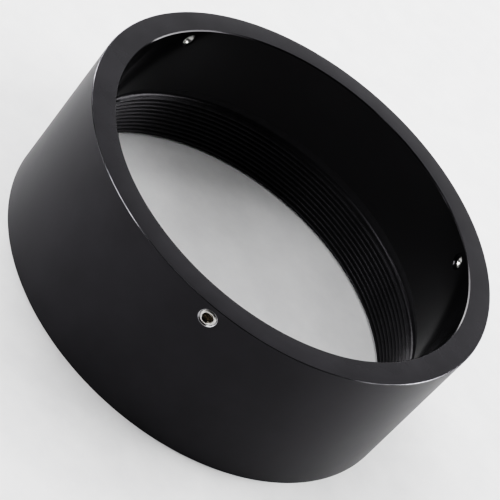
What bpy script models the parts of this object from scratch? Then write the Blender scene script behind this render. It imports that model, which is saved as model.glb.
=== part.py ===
"""Telescope adapter ring: a smooth slip-fit bore above an internal thread, with three radial set screws.

The ring stands on its threaded end. Its axis is +Z, and the origin is the centre of that end's face.
All lengths are in metres.
"""

import math

import bmesh
import bpy
from mathutils import Matrix, Vector

# Ring
OUTER_RADIUS = 0.0396
RING_LENGTH = 0.0287
OUTER_EDGE_BREAK = 0.0001

# Smooth slip-fit bore, open at the plain rim
BORE_RADIUS = 0.0351
BORE_DEPTH = 0.0154
BORE_CHAMFER = 0.0002

# Relief groove between the bore and the thread
RELIEF_RADIUS = 0.0365
RELIEF_WIDTH = 0.0031
RELIEF_CORNER = 0.0008

# Internal metric fine thread, M72 x 1, open at the base
THREAD_MAJOR_RADIUS = 0.0360
THREAD_PITCH = 0.0010
THREAD_ROOT_FLAT = THREAD_PITCH / 8
FLANK_SLOPE = math.tan(math.radians(30))
THREAD_SHARP_HEIGHT = THREAD_PITCH / (2 * FLANK_SLOPE)
THREAD_DEPTH = THREAD_SHARP_HEIGHT * 5 / 8
THREAD_MINOR_RADIUS = THREAD_MAJOR_RADIUS - THREAD_DEPTH
THREAD_MOUTH_RADIUS = THREAD_MAJOR_RADIUS + 0.0001
THREAD_TOP = RING_LENGTH - BORE_DEPTH - RELIEF_WIDTH

# The thread's cutter starts below the base, ends inside the relief groove, and reaches past the minor radius
THREAD_START = -1.0 * THREAD_PITCH
THREAD_TURNS = 13
THREAD_CUTTER_OVERLAP = 0.0001

# Radial set screws, M3 x 4, with a hex socket outside and a cup point inside.
# The first two are flush with the outer wall, and the third is turned in a little further.
SCREW_ANGLES = (-90, 30, 150)
SCREW_INSETS = (0.0, 0.0, 0.0004)
SCREW_BELOW_RIM = 0.0024
SCREW_LENGTH = 0.0040
SCREW_SHANK_RADIUS = 0.00130
SCREW_END_CHAMFER = 0.0002
SCREW_TIP_RADIUS = 0.00100
SCREW_CONE_LENGTH = 0.0003
SCREW_CUP_RADIUS = 0.00080
SCREW_CUP_DEPTH = 0.0003
SOCKET_ACROSS_FLATS = 0.0015
SOCKET_DEPTH = 0.0015
TAPPED_HOLE_RADIUS = 0.00155

# How finely round shapes are divided
RING_STEPS = 64
SCREW_STEPS = 24

# How far a drill or socket cutter runs past the surface it opens
CUTTER_OVERRUN = 0.0020

# Points closer than this are joined where an outline meets its own axis or closes its turn
MERGE_DISTANCE = 0.000001

RING_NAME = "adapter_ring"


def clear_scene():
    for obj in list(bpy.data.objects):
        bpy.data.objects.remove(obj, do_unlink=True)


def new_collection(name, hidden=False):
    collection = bpy.data.collections.new(name)
    collection.hide_render = hidden
    bpy.context.scene.collection.children.link(collection)
    return collection


def new_object(name, mesh, collection):
    obj = bpy.data.objects.new(name, mesh)
    collection.objects.link(obj)
    return obj


def metal(name, colour, roughness, metallic):
    material = bpy.data.materials.new(name)
    material.use_nodes = True
    shader = material.node_tree.nodes["Principled BSDF"]
    shader.inputs["Base Color"].default_value = (*colour, 1.0)
    shader.inputs["Roughness"].default_value = roughness
    shader.inputs["Metallic"].default_value = metallic
    return material


def outline_mesh(name, points, closed):
    """A line of edges through (radius, height) points, in the XZ plane."""
    edges = [(i, i + 1) for i in range(len(points) - 1)]
    if closed:
        edges.append((len(points) - 1, 0))
    mesh = bpy.data.meshes.new(name)
    mesh.from_pydata([(radius, 0.0, height) for radius, height in points], edges, [])
    return mesh


def turn(obj, steps, turns=1, pitch=0.0):
    """Sweeps the object's outline about its own Z axis."""
    screw = obj.modifiers.new("turn", "SCREW")
    screw.axis = "Z"
    screw.angle = math.tau
    screw.steps = steps
    screw.render_steps = steps
    screw.iterations = turns
    screw.screw_offset = pitch
    screw.use_merge_vertices = pitch == 0.0
    screw.merge_threshold = MERGE_DISTANCE
    return screw


def hide_cutter(obj):
    obj.hide_render = True
    obj.display_type = "WIRE"


def subtract(obj, cutter, name):
    cut = obj.modifiers.new(name, "BOOLEAN")
    cut.operation = "DIFFERENCE"
    cut.solver = "EXACT"
    cut.object = cutter


def shade_round(obj):
    obj.data.shade_smooth()
    obj.data.set_sharp_from_angle(angle=math.radians(30))


def evaluated_copy(obj, name):
    """The object's shape with its modifiers applied, as a new mesh."""
    graph = bpy.context.evaluated_depsgraph_get()
    mesh = bpy.data.meshes.new_from_object(obj.evaluated_get(graph))
    mesh.name = name
    return mesh


def ring_outline():
    """Down the outside, across the base, and up the thread, the relief groove and the bore."""
    mouth_height = THREAD_MOUTH_RADIUS - THREAD_MINOR_RADIUS
    outside = [
        (OUTER_RADIUS - OUTER_EDGE_BREAK, RING_LENGTH),
        (OUTER_RADIUS, RING_LENGTH - OUTER_EDGE_BREAK),
        (OUTER_RADIUS, OUTER_EDGE_BREAK),
        (OUTER_RADIUS - OUTER_EDGE_BREAK, 0.0),
    ]
    thread = [
        (THREAD_MOUTH_RADIUS, 0.0),
        (THREAD_MINOR_RADIUS, mouth_height),
        (THREAD_MINOR_RADIUS, THREAD_TOP),
    ]
    relief = [
        (RELIEF_RADIUS - RELIEF_CORNER, THREAD_TOP),
        (RELIEF_RADIUS, THREAD_TOP + RELIEF_CORNER),
        (RELIEF_RADIUS, THREAD_TOP + RELIEF_WIDTH),
    ]
    bore = [
        (BORE_RADIUS, RING_LENGTH - BORE_DEPTH),
        (BORE_RADIUS, RING_LENGTH - BORE_CHAMFER),
        (BORE_RADIUS + BORE_CHAMFER, RING_LENGTH),
    ]
    return outside + thread + relief + bore


def thread_cutter(collection):
    """A ridge along a right-hand helix, from below the base to inside the relief groove."""
    inner_radius = THREAD_MINOR_RADIUS - THREAD_CUTTER_OVERLAP
    root_half = THREAD_ROOT_FLAT / 2
    mouth_half = root_half + (THREAD_MAJOR_RADIUS - inner_radius) * FLANK_SLOPE
    ridge = [
        (inner_radius, THREAD_START + mouth_half),
        (THREAD_MAJOR_RADIUS, THREAD_START + root_half),
        (THREAD_MAJOR_RADIUS, THREAD_START - root_half),
        (inner_radius, THREAD_START - mouth_half),
    ]
    guide = new_object("thread_guide", outline_mesh("thread_guide", ridge, closed=True), collection)
    turn(guide, RING_STEPS, turns=THREAD_TURNS, pitch=THREAD_PITCH)
    mesh = evaluated_copy(guide, "thread_cutter")
    bpy.data.objects.remove(guide, do_unlink=True)

    shape = bmesh.new()
    shape.from_mesh(mesh)
    bmesh.ops.holes_fill(shape, edges=[edge for edge in shape.edges if edge.is_boundary], sides=4)
    bmesh.ops.recalc_face_normals(shape, faces=shape.faces)
    shape.to_mesh(mesh)
    shape.free()

    cutter = new_object("thread_cutter", mesh, collection)
    hide_cutter(cutter)
    return cutter


def cylinder(name, radius, length, sides, collection):
    """A closed cylinder about its own Z axis, from the origin downwards."""
    shape = bmesh.new()
    bmesh.ops.create_cone(
        shape,
        cap_ends=True,
        segments=sides,
        radius1=radius,
        radius2=radius,
        depth=length,
        matrix=Matrix.Translation((0.0, 0.0, -length / 2)),
    )
    mesh = bpy.data.meshes.new(name)
    shape.to_mesh(mesh)
    shape.free()
    return new_object(name, mesh, collection)


def radial_placement(angle, radius):
    """Puts a local origin at this radius, at the set screws' height, with local +Z pointing outwards."""
    around = Matrix.Rotation(math.radians(angle), 4, "Z")
    outwards = Matrix.Rotation(math.radians(90), 4, "Y")
    centre = Vector((radius, 0.0, RING_LENGTH - SCREW_BELOW_RIM))
    return around @ Matrix.Translation(centre) @ outwards


def make_ring(parts, cutters):
    ring = new_object(RING_NAME, outline_mesh(RING_NAME, ring_outline(), closed=True), parts)
    turn(ring, RING_STEPS)
    subtract(ring, thread_cutter(cutters), "internal_thread")
    wall = OUTER_RADIUS - BORE_RADIUS
    for number, angle in enumerate(SCREW_ANGLES, start=1):
        drill = cylinder(
            f"tapped_hole_{number}",
            TAPPED_HOLE_RADIUS,
            wall + 2 * CUTTER_OVERRUN,
            SCREW_STEPS,
            cutters,
        )
        drill.matrix_world = radial_placement(angle, OUTER_RADIUS + CUTTER_OVERRUN)
        hide_cutter(drill)
        subtract(ring, drill, drill.name)
    return ring


def screw_outline():
    """From the socket end's centre, down the shank, the cone and the tip's rim, to the bottom of the cup."""
    tip = -SCREW_LENGTH
    return [
        (0.0, 0.0),
        (SCREW_SHANK_RADIUS - SCREW_END_CHAMFER, 0.0),
        (SCREW_SHANK_RADIUS, -SCREW_END_CHAMFER),
        (SCREW_SHANK_RADIUS, tip + SCREW_CONE_LENGTH),
        (SCREW_TIP_RADIUS, tip),
        (SCREW_CUP_RADIUS, tip),
        (0.0, tip + SCREW_CUP_DEPTH),
    ]


def make_set_screws(parts, cutters):
    """Each screw's origin is on its own axis, at the centre of its socket end."""
    corner_radius = SOCKET_ACROSS_FLATS / math.sqrt(3)
    shank = outline_mesh("set_screw", screw_outline(), closed=False)
    screws = []
    for number, (angle, inset) in enumerate(zip(SCREW_ANGLES, SCREW_INSETS), start=1):
        placement = radial_placement(angle, OUTER_RADIUS - inset)
        screw = new_object(f"set_screw_{number}", shank.copy(), parts)
        turn(screw, SCREW_STEPS)
        screw.matrix_world = placement

        socket = cylinder(
            f"hex_socket_{number}", corner_radius, SOCKET_DEPTH + CUTTER_OVERRUN, 6, cutters
        )
        socket.matrix_world = placement @ Matrix.Translation((0.0, 0.0, CUTTER_OVERRUN))
        hide_cutter(socket)
        subtract(screw, socket, "hex_socket")
        screws.append(screw)
    return screws


def main():
    clear_scene()
    parts = new_collection("telescope_adapter_ring")
    cutters = new_collection("cutters", hidden=True)
    anodised = metal("black_anodised_aluminium", (0.020, 0.020, 0.022), 0.38, 0.4)
    stainless = metal("stainless_steel", (0.62, 0.61, 0.59), 0.25, 1.0)

    ring = make_ring(parts, cutters)
    ring.data.materials.append(anodised)
    shade_round(ring)
    for screw in make_set_screws(parts, cutters):
        screw.data.materials.append(stainless)
        shade_round(screw)


main()
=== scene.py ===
"""The telescope adapter ring's looks: a turned, black anodised ring and three set screws.

The fine pieces stand for the plain CAD solids, in the same frame: metres, +Z along the ring's axis, and the
origin at the centre of the threaded end's face.
"""

import math

import bmesh
import bpy
from mathutils import Matrix, Vector


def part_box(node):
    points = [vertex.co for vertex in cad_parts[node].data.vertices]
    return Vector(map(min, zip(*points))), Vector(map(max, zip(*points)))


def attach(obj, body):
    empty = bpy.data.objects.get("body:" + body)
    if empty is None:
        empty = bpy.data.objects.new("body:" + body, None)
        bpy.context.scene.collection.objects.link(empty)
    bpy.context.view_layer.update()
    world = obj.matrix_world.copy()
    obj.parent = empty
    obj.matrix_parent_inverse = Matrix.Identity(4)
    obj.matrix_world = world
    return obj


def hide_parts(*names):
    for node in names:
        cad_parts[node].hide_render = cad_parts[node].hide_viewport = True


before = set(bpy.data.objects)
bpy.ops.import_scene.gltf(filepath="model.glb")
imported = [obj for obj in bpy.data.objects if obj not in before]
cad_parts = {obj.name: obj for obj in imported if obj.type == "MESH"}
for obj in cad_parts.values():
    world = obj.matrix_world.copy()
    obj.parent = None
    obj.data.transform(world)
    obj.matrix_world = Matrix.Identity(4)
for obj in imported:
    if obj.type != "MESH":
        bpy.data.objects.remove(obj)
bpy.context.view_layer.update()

MM = 0.001

# Ring, from the frame
ring_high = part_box("adapter_ring")[1]
OUTER_RADIUS = ring_high.x
RING_LENGTH = ring_high.z

# Ring, the sizes that the frame's box doesn't give
BORE_RADIUS = 35.1 * MM
BORE_DEPTH = 15.4 * MM
RELIEF_RADIUS = 36.5 * MM
RELIEF_WIDTH = 3.1 * MM
THREAD_TOP = RING_LENGTH - BORE_DEPTH - RELIEF_WIDTH

# Internal thread, M72 x 1
THREAD_MAJOR_RADIUS = 36.0 * MM
THREAD_PITCH = 1.0 * MM
THREAD_START = -1.0 * THREAD_PITCH
THREAD_TURNS = 13
THREAD_ROOT_FLAT = THREAD_PITCH / 8

# Edges of the ring
OUTER_CHAMFER = 0.10 * MM
BASE_CHAMFER = 0.08 * MM
BORE_CHAMFER = 0.20 * MM
THREAD_MOUTH_OVER_MAJOR = 0.1 * MM
RELIEF_CORNER_ROUNDING = 1.0 * MM
LIP_ROUNDING = 0.08 * MM
EDGE_ROUNDING = 0.04 * MM

# Set screws, M3 x 4: two flush with the outer wall, and the third turned in a little further
SCREW_ANGLES = (-90, 30, 150)
SCREW_INSETS = (0.0, 0.0, 0.4 * MM)
SCREW_BELOW_RIM = 2.4 * MM
SCREW_LENGTH = 4.0 * MM
SCREW_RADIUS = 1.47 * MM
SCREW_PITCH = 0.5 * MM
SCREW_ROOT_FLAT = SCREW_PITCH / 6
SCREW_TURNS = 12
TAP_TURNS = 15
SOCKET_ACROSS_FLATS = 1.5 * MM
SOCKET_DEPTH = 1.5 * MM
SOCKET_LEAD_IN = 0.15 * MM
SOCKET_OVERRUN = 1.0 * MM
SOCKET_FLOOR_OVERLAP_SHARE = 0.9
DRILL_RADIUS_SHARE = 0.96
DRILL_SHOULDER_DEPTH = 0.1 * MM
DRILL_POINT_DEPTH = 0.45 * MM
CUP_RADIUS = 0.80 * MM
CUP_DEPTH = 0.65 * MM
TIP_RADIUS = 1.10 * MM
CONE_LENGTH = 0.45 * MM
END_CHAMFER = 0.34 * MM
END_CHAMFER_DEPTH = 0.22 * MM

# Tapped holes. A hole's thread is a little wider than its screw's, but in step with it, so their crests
# overlap out of sight inside the hole.
THREAD_CLEARANCE = 0.03 * MM
TAP_ROOT_FLAT = SCREW_PITCH / 8 + 2 * THREAD_CLEARANCE
TAP_OVERRUN = 1.0 * MM
HOLE_CHAMFER = 0.10 * MM
HOLE_BORE_CHAMFER = 0.03 * MM

# A 60 degree thread's depth, as a share of its pitch
FLANK_SLOPE = math.tan(math.radians(30))
INTERNAL_DEPTH_SHARE = 5 / 8 / (2 * FLANK_SLOPE)
EXTERNAL_DEPTH_SHARE = 0.6134

# How finely round shapes are divided
RING_STEPS = 360
SCREW_STEPS = 72
ROUNDING_STEPS = 5

CUTTER_OVERRUN = 0.1 * MM
MERGE_DISTANCE = 1e-7

# The round walls are divided this far above and below the tapped holes' centres
HOLE_BAND = 1.7 * MM

# Which corners lie on the round walls: how far off their radius, and how squarely they face it
WALL_TOLERANCE = 0.01 * MM
WALL_FACING = 0.999

# Edges that bend more than this stay sharp, in degrees
SHARP_ANGLE = 25


# ---------------------------------------------------------------- shapes


def link(name, mesh):
    obj = bpy.data.objects.new(name, mesh)
    bpy.context.scene.collection.objects.link(obj)
    return obj


def rounded(corners):
    """Points along an outline of (radius, height, rounding) corners, with each rounded corner as an arc."""
    points = []
    for i, (radius, height, rounding) in enumerate(corners):
        here = Vector((radius, height))
        if not rounding:
            points.append(here)
            continue
        before = (Vector(corners[i - 1][:2]) - here).normalized()
        after = (Vector(corners[(i + 1) % len(corners)][:2]) - here).normalized()
        half = before.angle(after) / 2
        middle = here + (before + after).normalized() * rounding / math.sin(half)
        first = here + before * rounding / math.tan(half) - middle
        last = here + after * rounding / math.tan(half) - middle
        for step in range(ROUNDING_STEPS + 1):
            along = first.lerp(last, step / ROUNDING_STEPS).normalized()
            points.append(middle + along * rounding)
    return points


def turned(name, points, steps, closed, turns=1, pitch=0.0):
    """The outline swept about Z, as a plain mesh object. With a pitch, it climbs as it turns."""
    count = len(points)
    edges = [(i, i + 1) for i in range(count - 1)]
    if closed:
        edges.append((count - 1, 0))
    outline = bpy.data.meshes.new(name)
    outline.from_pydata([(radius, 0.0, height) for radius, height in points], edges, [])
    obj = link(name, outline)
    screw = obj.modifiers.new("turn", "SCREW")
    screw.steps = steps
    screw.render_steps = steps
    screw.iterations = turns
    screw.screw_offset = pitch
    screw.use_merge_vertices = pitch == 0.0
    screw.merge_threshold = MERGE_DISTANCE
    bake_modifiers(obj)
    return obj


def bake_modifiers(obj):
    graph = bpy.context.evaluated_depsgraph_get()
    mesh = bpy.data.meshes.new_from_object(obj.evaluated_get(graph))
    obj.modifiers.clear()
    old = obj.data
    obj.data = mesh
    bpy.data.meshes.remove(old)


def thread_ridge(name, tip, root, root_flat, pitch, start, turns, steps):
    """A closed V-shaped ridge along a right-hand helix.

    It is root_flat wide at the radius root, and widens towards the radius tip.
    """
    widest = root_flat / 2 + abs(root - tip) * FLANK_SLOPE
    corners = [
        (tip, start + widest),
        (root, start + root_flat / 2),
        (root, start - root_flat / 2),
        (tip, start - widest),
    ]
    if tip > root:
        corners.reverse()
    obj = turned(name, corners, steps, closed=True, turns=turns, pitch=pitch)
    shape = bmesh.new()
    shape.from_mesh(obj.data)
    ends = [edge for edge in shape.edges if edge.is_boundary]
    bmesh.ops.holes_fill(shape, edges=ends, sides=4)
    bmesh.ops.recalc_face_normals(shape, faces=shape.faces)
    shape.to_mesh(obj.data)
    shape.free()
    return obj


def combine(obj, other, operation):
    """Applies a Boolean with the other object, and removes that object."""
    cut = obj.modifiers.new("cut", "BOOLEAN")
    cut.operation = operation
    cut.solver = "MANIFOLD"
    cut.object = other
    bpy.context.view_layer.update()
    bake_modifiers(obj)
    bpy.data.objects.remove(other, do_unlink=True)


def radial(angle, inset=0.0):
    """From a set screw's own frame, +Z outwards and the origin at its socket end, to the row frame."""
    centre = Vector((OUTER_RADIUS - inset, 0.0, RING_LENGTH - SCREW_BELOW_RIM))
    around = Matrix.Rotation(math.radians(angle), 4, "Z")
    outwards = Matrix.Rotation(math.radians(90), 4, "Y")
    return around @ Matrix.Translation(centre) @ outwards


def finish_shading(obj):
    obj.data.shade_smooth()
    obj.data.set_sharp_from_angle(angle=math.radians(SHARP_ANGLE))


# ---------------------------------------------------------------- ring


def round_wall_normals(mesh):
    """Makes the outer wall and the bore shade as true cylinders, also beside the tapped holes."""
    normals = [corner.vector.copy() for corner in mesh.corner_normals]
    for face in mesh.polygons:
        for corner in face.loop_indices:
            point = mesh.vertices[mesh.loops[corner].vertex_index].co
            radius = math.hypot(point.x, point.y)
            outwards = Vector((point.x, point.y, 0.0)) / radius
            facing = face.normal.dot(outwards)
            off_wall = min(abs(radius - OUTER_RADIUS), abs(radius - BORE_RADIUS))
            if off_wall < WALL_TOLERANCE and abs(facing) > WALL_FACING:
                normals[corner] = outwards if facing > 0 else -outwards
    mesh.normals_split_custom_set(normals)


def ring_corners():
    """Down the outside, across the base, and up the thread, the relief groove and the bore."""
    minor = THREAD_MAJOR_RADIUS - THREAD_PITCH * INTERNAL_DEPTH_SHARE
    mouth = THREAD_MAJOR_RADIUS + THREAD_MOUTH_OVER_MAJOR
    relief_top = THREAD_TOP + RELIEF_WIDTH
    above_holes = RING_LENGTH - SCREW_BELOW_RIM + HOLE_BAND
    below_holes = RING_LENGTH - SCREW_BELOW_RIM - HOLE_BAND
    return [
        (OUTER_RADIUS - OUTER_CHAMFER, RING_LENGTH, EDGE_ROUNDING),
        (OUTER_RADIUS, RING_LENGTH - OUTER_CHAMFER, EDGE_ROUNDING),
        (OUTER_RADIUS, above_holes, 0.0),
        (OUTER_RADIUS, below_holes, 0.0),
        (OUTER_RADIUS, BASE_CHAMFER, EDGE_ROUNDING),
        (OUTER_RADIUS - BASE_CHAMFER, 0.0, EDGE_ROUNDING),
        (mouth, 0.0, EDGE_ROUNDING),
        (minor, mouth - minor, 0.0),
        (minor, THREAD_TOP, EDGE_ROUNDING),
        (RELIEF_RADIUS, THREAD_TOP, RELIEF_CORNER_ROUNDING),
        (RELIEF_RADIUS, relief_top, RELIEF_CORNER_ROUNDING),
        (BORE_RADIUS, relief_top, LIP_ROUNDING),
        (BORE_RADIUS, below_holes, 0.0),
        (BORE_RADIUS, above_holes, 0.0),
        (BORE_RADIUS, RING_LENGTH - BORE_CHAMFER, EDGE_ROUNDING),
        (BORE_RADIUS + BORE_CHAMFER, RING_LENGTH, EDGE_ROUNDING),
    ]


def screw_tap():
    """What a tapped hole leaves out, in a set screw's own frame: a drilled core and its thread."""
    major = SCREW_RADIUS + THREAD_CLEARANCE
    minor = major - SCREW_PITCH * INTERNAL_DEPTH_SHARE
    wall = OUTER_RADIUS - BORE_RADIUS
    deepest = -wall - TAP_OVERRUN
    highest = TAP_OVERRUN
    core_points = [(0.0, highest), (minor, highest), (minor, deepest), (0.0, deepest)]
    tap = turned("tap", core_points, SCREW_STEPS, closed=False)
    ridge = thread_ridge(
        "tap_ridge",
        tip=minor - CUTTER_OVERRUN,
        root=major,
        root_flat=TAP_ROOT_FLAT,
        pitch=SCREW_PITCH,
        start=deepest - SCREW_PITCH,
        turns=TAP_TURNS,
        steps=SCREW_STEPS,
    )
    combine(tap, ridge, "UNION")
    for level, outwards, chamfer in ((0.0, 1.0, HOLE_CHAMFER), (-wall, -1.0, HOLE_BORE_CHAMFER)):
        mouth = major + chamfer
        cone = [
            (0.0, level + outwards * HOLE_CHAMFER),
            (mouth + HOLE_CHAMFER, level + outwards * HOLE_CHAMFER),
            (minor, level - outwards * (mouth - minor)),
            (0.0, level - outwards * (mouth - minor)),
        ]
        combine(tap, turned("tap_mouth", cone, SCREW_STEPS, closed=False), "UNION")
    return tap


def make_ring():
    minor = THREAD_MAJOR_RADIUS - THREAD_PITCH * INTERNAL_DEPTH_SHARE
    ring = turned("turned_ring", rounded(ring_corners()), RING_STEPS, closed=True)
    thread = thread_ridge(
        "thread",
        tip=minor - CUTTER_OVERRUN,
        root=THREAD_MAJOR_RADIUS,
        root_flat=THREAD_ROOT_FLAT,
        pitch=THREAD_PITCH,
        start=THREAD_START,
        turns=THREAD_TURNS,
        steps=RING_STEPS,
    )
    combine(ring, thread, "DIFFERENCE")
    for angle in SCREW_ANGLES:
        tap = screw_tap()
        tap.data.transform(radial(angle))
        combine(ring, tap, "DIFFERENCE")
    finish_shading(ring)
    round_wall_normals(ring.data)
    return ring


# ---------------------------------------------------------------- set screws


def screw_points():
    """From the socket end's centre, down the shank and the cone, to the bottom of the cup."""
    tip = -SCREW_LENGTH
    corners = [
        (0.0, 0.0, 0.0),
        (SCREW_RADIUS - END_CHAMFER, 0.0, EDGE_ROUNDING),
        (SCREW_RADIUS, -END_CHAMFER_DEPTH, EDGE_ROUNDING),
        (SCREW_RADIUS, tip + CONE_LENGTH, EDGE_ROUNDING),
        (TIP_RADIUS, tip, EDGE_ROUNDING),
        (CUP_RADIUS, tip, EDGE_ROUNDING),
        (0.0, tip + CUP_DEPTH, 0.0),
    ]
    return rounded(corners)


def socket_cutter():
    """The hex socket: six flats, a coned lead-in at the mouth and a drill point at the bottom."""
    corner = SOCKET_ACROSS_FLATS / math.sqrt(3)
    above = SOCKET_OVERRUN
    flats = [(0.0, above), (corner, above), (corner, -SOCKET_DEPTH), (0.0, -SOCKET_DEPTH)]
    cutter = turned("socket", flats, 6, closed=False)
    inner = SOCKET_ACROSS_FLATS / 2
    cone = [
        (0.0, above),
        (corner + SOCKET_LEAD_IN + above, above),
        (inner, inner - corner - SOCKET_LEAD_IN),
        (0.0, -SOCKET_DEPTH * SOCKET_FLOOR_OVERLAP_SHARE),
    ]
    combine(cutter, turned("lead_in", cone, SCREW_STEPS, closed=False), "UNION")
    drill = [
        (0.0, -SOCKET_DEPTH * SOCKET_FLOOR_OVERLAP_SHARE),
        (inner * DRILL_RADIUS_SHARE, -SOCKET_DEPTH * SOCKET_FLOOR_OVERLAP_SHARE),
        (inner * DRILL_RADIUS_SHARE, -SOCKET_DEPTH - DRILL_SHOULDER_DEPTH),
        (0.0, -SOCKET_DEPTH - DRILL_POINT_DEPTH),
    ]
    combine(cutter, turned("drill_point", drill, SCREW_STEPS, closed=False), "UNION")
    return cutter


def make_set_screw():
    screw = turned("set_screw", screw_points(), SCREW_STEPS, closed=False)
    root = SCREW_RADIUS - SCREW_PITCH * EXTERNAL_DEPTH_SHARE
    groove = thread_ridge(
        "groove",
        tip=SCREW_RADIUS + CUTTER_OVERRUN,
        root=root,
        root_flat=SCREW_ROOT_FLAT,
        pitch=SCREW_PITCH,
        start=-SCREW_LENGTH - SCREW_PITCH * 2,
        turns=SCREW_TURNS,
        steps=SCREW_STEPS,
    )
    combine(screw, groove, "DIFFERENCE")
    combine(screw, socket_cutter(), "DIFFERENCE")
    finish_shading(screw)
    return screw


# ---------------------------------------------------------------- materials


# Noise scales, in features a metre
FINE_MARKS = 14000.0
BROAD_MARKS = 1800.0
DYE_GRAIN = 9000.0
DYE_CLOUDS = 120.0
EDGE_WEAR = 350.0
STEEL_GRAIN = 12000.0
STEEL_STAINS = 1500.0
STEEL_MARKS = 16000.0
TABLE_PEBBLE = 700.0
TABLE_CLOUDS = 130.0

# Roughness: the bore's own, and what the wall, the thread, turning marks and smudges add
BORE_ROUGHNESS = 0.14
WALL_ADDS = 0.33
THREAD_ADDS = 0.14
MARKS_ADD = 0.05
SMUDGES_ADD = 0.10
TABLE_ROUGHNESS = 0.55

# Colours, as linear red, green, blue and alpha
BORE_BLACKS = (0.0008, 0.0008, 0.0010, 1), (0.0020, 0.0020, 0.0024, 1)
WALL_BLACKS = (0.0085, 0.0083, 0.0094, 1), (0.0125, 0.0122, 0.0138, 1)
RUBBED_EDGES = (0.04, 0.04, 0.043, 1), (0.11, 0.11, 0.115, 1)
BARE_ALUMINIUM = (0.38, 0.38, 0.39, 1)
BLACK_SHEEN = (0.96, 0.93, 1.0, 1.0)
CLEAN_STEELS = (0.54, 0.53, 0.51, 1), (0.40, 0.39, 0.37, 1)
# Paler steel on the cup points, a painted highlight so that they glint brighter
TIP_HIGHLIGHT_STEEL = (0.74, 0.73, 0.71, 1)
# Painted shade in the set screws' sockets and thread roots: darkest just below a socket's mouth, paler
# brown deeper in
PAINTED_SHADE_BROWNS = (0.06, 0.055, 0.048, 1), (0.32, 0.29, 0.25, 1)
TABLE_GREYS = (0.80, 0.80, 0.81, 1), (0.89, 0.89, 0.895, 1)

# A hole's bare edge is nearer to the outer wall than this, and the internal thread is further from it
WALL_SKIN = 1.0 * MM


class Graph:
    """Short calls for building a material's nodes."""

    def __init__(self, name):
        self.material = bpy.data.materials.new(name)
        self.material.use_nodes = True
        self.tree = self.material.node_tree
        self.shader = self.tree.nodes["Principled BSDF"]

    def node(self, kind, settings=None, **inputs):
        node = self.tree.nodes.new(kind)
        for key, value in (settings or {}).items():
            setattr(node, key, value)
        for key, value in inputs.items():
            self.feed(node.inputs[key], value)
        return node

    def feed(self, socket, value):
        if isinstance(value, bpy.types.NodeSocket):
            self.tree.links.new(value, socket)
        else:
            socket.default_value = value

    def math(self, operation, *values):
        node = self.node("ShaderNodeMath", {"operation": operation})
        for socket, value in zip(node.inputs, values):
            self.feed(socket, value)
        return node.outputs[0]

    def noise(self, vector, scale, detail=2.0, roughness=0.5):
        node = self.node(
            "ShaderNodeTexNoise",
            {"noise_dimensions": "3D"},
            Vector=vector,
            Scale=scale,
            Detail=detail,
            Roughness=roughness,
        )
        return node.outputs["Fac"]

    def line_noise(self, along, scale, detail=1.0):
        node = self.node(
            "ShaderNodeTexNoise",
            {"noise_dimensions": "1D"},
            W=along,
            Scale=scale,
            Detail=detail,
        )
        return node.outputs["Fac"]

    def remap(self, value, low, high, to_low, to_high):
        node = self.node("ShaderNodeMapRange", {"clamp": True})
        for socket, number in zip(node.inputs, (value, low, high, to_low, to_high)):
            self.feed(socket, number)
        return node.outputs[0]

    def mix(self, factor, first, second):
        node = self.node("ShaderNodeMix", {"data_type": "RGBA"})
        self.feed(node.inputs["Factor"], factor)
        self.feed(node.inputs["A"], first)
        self.feed(node.inputs["B"], second)
        return node.outputs["Result"]

    def bump(self, height, distance, strength=1.0, normal=None):
        node = self.node("ShaderNodeBump", Height=height, Distance=distance, Strength=strength)
        if normal is not None:
            self.feed(node.inputs["Normal"], normal)
        return node.outputs["Normal"]


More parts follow.
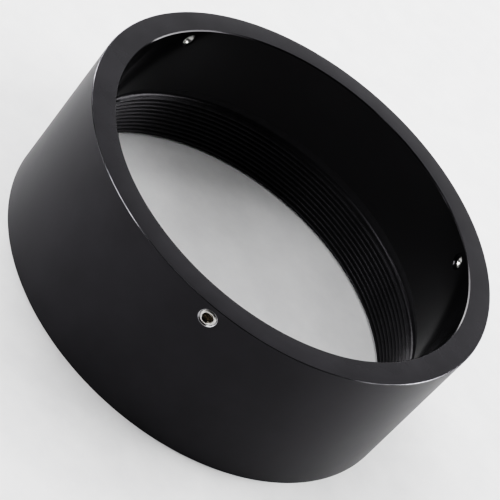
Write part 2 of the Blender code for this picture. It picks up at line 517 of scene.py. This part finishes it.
def anodised_black():
    graph = Graph("black_anodised_aluminium")
    place_of = graph.node("ShaderNodeTexCoord").outputs["Object"]
    axes = graph.node("ShaderNodeSeparateXYZ", Vector=place_of).outputs
    x_squared = graph.math("MULTIPLY", axes["X"], axes["X"])
    radius = graph.math("SQRT", graph.math("MULTIPLY_ADD", axes["Y"], axes["Y"], x_squared))
    height = axes["Z"]

    # Turning marks run round the ring: on the walls they follow the height, and on the faces the radius.
    across = graph.math("ADD", radius, height)
    fine_marks = graph.line_noise(across, FINE_MARKS)
    broad_marks = graph.line_noise(across, BROAD_MARKS, detail=2.0)
    grain = graph.noise(place_of, DYE_GRAIN, detail=3.0)
    cloud = graph.noise(place_of, DYE_CLOUDS, detail=4.0, roughness=0.6)

    # The outer wall, the two end faces and the thread are a little paler than the smooth bore.
    from_top = graph.math("SUBTRACT", RING_LENGTH, height)
    from_outside = graph.math("SUBTRACT", OUTER_RADIUS, radius)
    below_edge = graph.math("GREATER_THAN", from_top, OUTER_CHAMFER * 1.3)
    wall = graph.math("MULTIPLY", graph.remap(from_outside, 0.10 * MM, 0.02 * MM, 0.0, 1.0), below_edge)
    face = graph.remap(graph.math("MINIMUM", from_top, height), 0.05 * MM, 0.02 * MM, 0.0, 1.0)
    threaded = graph.math("LESS_THAN", height, THREAD_TOP + RELIEF_WIDTH)
    threaded = graph.math("MULTIPLY", threaded, graph.math("GREATER_THAN", from_outside, WALL_SKIN))
    outside = graph.math("MAXIMUM", graph.math("MAXIMUM", wall, face), threaded)
    patchy = graph.remap(cloud, 0.35, 0.7, 0.0, 1.0)
    inner_dye = graph.mix(patchy, *BORE_BLACKS)
    outer_dye = graph.mix(patchy, *WALL_BLACKS)
    dye = graph.mix(outside, inner_dye, outer_dye)

    # The dye is rubbed thin along the sharp outer edge of the rim.
    outer_edge = graph.math("ADD", from_top, graph.math("ABSOLUTE", from_outside))
    wear_noise = graph.noise(place_of, EDGE_WEAR, detail=3.0, roughness=0.6)
    worn = graph.remap(outer_edge, OUTER_CHAMFER + 0.03 * MM, OUTER_CHAMFER + 0.01 * MM, 0.0, 1.0)
    rubbed = graph.remap(wear_noise, 0.30, 0.75, 0.0, 1.0)
    thin_dye = graph.mix(rubbed, *RUBBED_EDGES)
    colour = graph.mix(worn, dye, thin_dye)

    # The set screws' holes were tapped after anodising, so their outer edges are bare metal.
    third = math.tau / len(SCREW_ANGLES)
    turn = graph.math("ARCTAN2", axes["Y"], axes["X"])
    from_screw = graph.math("SUBTRACT", turn, math.radians(SCREW_ANGLES[0]) - third / 2)
    folded = graph.math("SUBTRACT", graph.math("FLOORED_MODULO", from_screw, third), third / 2)
    sideways = graph.math("MULTIPLY", graph.math("SINE", folded), radius)
    upwards = graph.math("SUBTRACT", from_top, SCREW_BELOW_RIM)
    squared = graph.math("MULTIPLY", sideways, sideways)
    hole_distance = graph.math("SQRT", graph.math("MULTIPLY_ADD", upwards, upwards, squared))
    hole_edge = SCREW_RADIUS + THREAD_CLEARANCE + HOLE_CHAMFER
    bare = graph.math("LESS_THAN", hole_distance, hole_edge + 0.01 * MM)
    bare = graph.math("MULTIPLY", bare, graph.math("LESS_THAN", from_outside, WALL_SKIN))
    colour = graph.mix(bare, colour, BARE_ALUMINIUM)
    graph.feed(graph.shader.inputs["Metallic"], graph.math("MAXIMUM", bare, worn))
    graph.feed(graph.shader.inputs["Base Color"], colour)

    satin = graph.math("MULTIPLY_ADD", wall, WALL_ADDS, BORE_ROUGHNESS)
    satin = graph.math("MULTIPLY_ADD", threaded, THREAD_ADDS, satin)
    marks = graph.math("MULTIPLY_ADD", graph.math("SUBTRACT", fine_marks, 0.5), MARKS_ADD, satin)
    smudge = graph.math("MULTIPLY_ADD", graph.math("SUBTRACT", cloud, 0.5), SMUDGES_ADD, marks)
    graph.feed(graph.shader.inputs["Roughness"], smudge)

    relief = graph.math("MULTIPLY_ADD", fine_marks, 0.6, graph.math("MULTIPLY", broad_marks, 0.4))
    normal = graph.bump(relief, 0.0004 * MM)
    normal = graph.bump(grain, 0.0008 * MM, normal=normal)
    graph.feed(graph.shader.inputs["Normal"], normal)
    graph.shader.inputs["Specular IOR Level"].default_value = 0.15
    graph.shader.inputs["IOR"].default_value = 1.5
    graph.shader.inputs["Specular Tint"].default_value = BLACK_SHEEN
    return graph.material


def stainless_steel():
    """Bright turned steel, in a set screw's own frame, with painted shade in its socket and thread roots.
    """
    graph = Graph("stainless_steel")
    place_of = graph.node("ShaderNodeTexCoord").outputs["Object"]
    axes = graph.node("ShaderNodeSeparateXYZ", Vector=place_of).outputs
    x_squared = graph.math("MULTIPLY", axes["X"], axes["X"])
    radius = graph.math("SQRT", graph.math("MULTIPLY_ADD", axes["Y"], axes["Y"], x_squared))
    depth = graph.math("MULTIPLY", axes["Z"], -1.0)

    grain = graph.noise(place_of, STEEL_GRAIN, detail=3.0)
    stain = graph.noise(place_of, STEEL_STAINS, detail=3.0)
    marks = graph.line_noise(graph.math("ADD", radius, depth), STEEL_MARKS)

    # Painted shade: the socket's walls and floor, and the thread roots on the shank, are coloured dark
    # brown.
    below_mouth = graph.remap(depth, 0.01 * MM, 0.08 * MM, 0.0, 1.0)
    above_tip = graph.math("LESS_THAN", depth, SCREW_LENGTH - CUP_DEPTH - 0.1 * MM)
    mouth_radius = SOCKET_ACROSS_FLATS / math.sqrt(3) + SOCKET_LEAD_IN
    inside = graph.math("LESS_THAN", radius, mouth_radius)
    socket_shade = graph.math("MULTIPLY", graph.math("MULTIPLY", below_mouth, above_tip), inside)
    root_shade = graph.remap(radius, SCREW_RADIUS - 0.08 * MM, SCREW_RADIUS - 0.25 * MM, 0.0, 0.6)
    on_shank = graph.math("MULTIPLY", graph.math("GREATER_THAN", radius, TIP_RADIUS + 0.1 * MM), root_shade)
    on_shank = graph.math("MULTIPLY", on_shank, graph.math("GREATER_THAN", depth, END_CHAMFER_DEPTH * 1.5))
    painted_shade = graph.math("MAXIMUM", socket_shade, on_shank)

    stained = graph.remap(stain, 0.35, 0.7, 0.0, 1.0)
    steel = graph.mix(stained, *CLEAN_STEELS)
    # Painted highlight: the cup point is paler steel, so it glints brighter.
    tip_highlight = graph.math("GREATER_THAN", depth, SCREW_LENGTH - CUP_DEPTH - 0.1 * MM)
    steel = graph.mix(tip_highlight, steel, TIP_HIGHLIGHT_STEEL)
    # The painted shade is darkest just below the socket's mouth, and a paler brown deeper in.
    deep = graph.remap(depth, 0.20 * MM, 0.60 * MM, 0.0, 1.0)
    shade_brown = graph.mix(deep, *PAINTED_SHADE_BROWNS)
    graph.feed(graph.shader.inputs["Base Color"], graph.mix(painted_shade, steel, shade_brown))
    graph.feed(graph.shader.inputs["Roughness"], graph.remap(grain, 0.3, 0.7, 0.16, 0.34))
    normal = graph.bump(marks, 0.0015 * MM)
    graph.feed(graph.shader.inputs["Normal"], graph.bump(grain, 0.002 * MM, normal=normal))
    graph.shader.inputs["Metallic"].default_value = 1.0
    return graph.material


def pale_table():
    graph = Graph("pale_table")
    place_of = graph.node("ShaderNodeTexCoord").outputs["Object"]
    pebble = graph.noise(place_of, TABLE_PEBBLE, detail=3.0, roughness=0.6)
    cloud = graph.noise(place_of, TABLE_CLOUDS, detail=5.0, roughness=0.65)
    clouded = graph.remap(cloud, 0.3, 0.7, 0.0, 1.0)
    colour = graph.mix(clouded, *TABLE_GREYS)
    graph.feed(graph.shader.inputs["Base Color"], colour)
    graph.feed(graph.shader.inputs["Normal"], graph.bump(pebble, 0.03 * MM, strength=0.5))
    graph.shader.inputs["Roughness"].default_value = TABLE_ROUGHNESS
    return graph.material


# ---------------------------------------------------------------- stage


FLOOR_SIZE = 4.0
ROOM_GLOW = 0.06

# Softboxes: name, azimuth and elevation in degrees, width and height in metres, and radiance
NEAR_DISTANCE = 0.65
NEAR_SOFTBOXES = (
    ("window", 120.0, 26.0, 0.4, 0.3, 15.0),
    ("window_top", 125.0, 46.0, 0.25, 0.1, 7.0),
)
FAR_DISTANCE = 1.3
FAR_SOFTBOXES = (
    ("left_softbox", -68.0, 40.0, 0.5, 0.35, 8.0),
    ("left_low", -78.0, 14.0, 0.6, 0.3, 14.0),
    ("left_front", -45.0, 28.0, 0.6, 0.5, 2.5),
    ("left_back", -110.0, 44.0, 0.5, 0.4, 2.5),
    ("upper_left", -104.0, 68.0, 0.3, 0.3, 7.0),
    ("ceiling_lamp", -60.0, 82.0, 0.25, 0.25, 8.0),
    ("front_high", -20.0, 66.0, 0.2, 0.2, 4.0),
    ("upper_right", 100.0, 70.0, 0.5, 0.5, 1.0),
    ("right_wall", 92.0, 34.0, 0.4, 0.4, 3.0),
    ("back_softbox", -140.0, 24.0, 0.8, 0.7, 13.0),
    ("back_wall", 175.0, 34.0, 0.9, 0.5, 1.0),
    ("back_high", 175.0, 62.0, 0.6, 0.5, 1.0),
    ("back_low", 180.0, 12.0, 0.8, 0.3, 8.0),
)

# The camera: its film and lens in millimetres, its angles in degrees and its distance in metres
FILM_WIDTH = 36.0
FOCAL_LENGTH = 142.86
NEAREST_SEEN = 0.01
CAMERA_AIM = Vector((0.41 * MM, -2.65 * MM, 14.35 * MM))
CAMERA_AZIMUTH = -3.80
CAMERA_ELEVATION = 35.95
CAMERA_ROLL = 41.56
CAMERA_DISTANCE = 0.33715


def add_floor():
    bpy.ops.mesh.primitive_plane_add(size=FLOOR_SIZE, location=(0.0, 0.0, 0.0))
    floor = bpy.context.object
    floor.name = "floor"
    floor.data.materials.append(pale_table())


def direction(azimuth, elevation):
    """A unit vector, from degrees: azimuth from the front (-Y) towards +X, elevation above the floor."""
    turn = math.radians(azimuth)
    lift = math.radians(elevation)
    return Vector((math.sin(turn) * math.cos(lift), -math.cos(turn) * math.cos(lift), math.sin(lift)))


def add_softbox(name, azimuth, elevation, width, height, radiance, distance):
    """A soft panel that faces the ring."""
    light = bpy.data.lights.new(name, "AREA")
    light.shape = "RECTANGLE"
    light.size = width
    light.size_y = height
    light.energy = radiance * math.pi * width * height
    obj = bpy.data.objects.new(name, light)
    bpy.context.scene.collection.objects.link(obj)
    towards = direction(azimuth, elevation)
    obj.location = towards * distance
    obj.rotation_euler = towards.to_track_quat("Z", "Y").to_euler()


def add_lights():
    world = bpy.data.worlds.new("soft_room")
    bpy.context.scene.world = world
    world.use_nodes = True
    background = world.node_tree.nodes["Background"]
    background.inputs["Color"].default_value = (1.0, 1.0, 1.0, 1.0)
    background.inputs["Strength"].default_value = ROOM_GLOW
    for name, azimuth, elevation, width, height, radiance in NEAR_SOFTBOXES:
        add_softbox(name, azimuth, elevation, width, height, radiance, NEAR_DISTANCE)
    for name, azimuth, elevation, width, height, radiance in FAR_SOFTBOXES:
        add_softbox(name, azimuth, elevation, width, height, radiance, FAR_DISTANCE)


def add_camera():
    camera_data = bpy.data.cameras.new("camera")
    camera_data.sensor_width = FILM_WIDTH
    camera_data.lens = FOCAL_LENGTH
    camera_data.clip_start = NEAREST_SEEN
    camera = bpy.data.objects.new("camera", camera_data)
    bpy.context.scene.collection.objects.link(camera)
    towards = direction(CAMERA_AZIMUTH, CAMERA_ELEVATION)
    roll = Matrix.Rotation(math.radians(CAMERA_ROLL), 4, "Z")
    facing = towards.to_track_quat("Z", "Y").to_matrix().to_4x4()
    camera.matrix_world = Matrix.Translation(CAMERA_AIM + towards * CAMERA_DISTANCE) @ facing @ roll
    bpy.context.scene.camera = camera


# ---------------------------------------------------------------- the scene


def cover(obj, material):
    obj.data.materials.clear()
    obj.data.materials.append(material)


def main():
    black = anodised_black()
    steel = stainless_steel()

    ring = make_ring()
    cover(ring, black)
    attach(ring, "ring")
    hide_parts("adapter_ring")

    pattern = make_set_screw()
    cover(pattern, steel)
    for number, (angle, inset) in enumerate(zip(SCREW_ANGLES, SCREW_INSETS), start=1):
        screw = link(f"threaded_set_screw_{number}", pattern.data.copy())
        screw.matrix_world = radial(angle, inset)
        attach(screw, f"screw_{number}")
        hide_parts(f"set_screw_{number}")
    bpy.data.objects.remove(pattern, do_unlink=True)

    add_floor()
    add_lights()
    add_camera()
    bpy.context.scene.view_settings.view_transform = "Filmic"
    bpy.context.scene.view_settings.look = "High Contrast"


main()
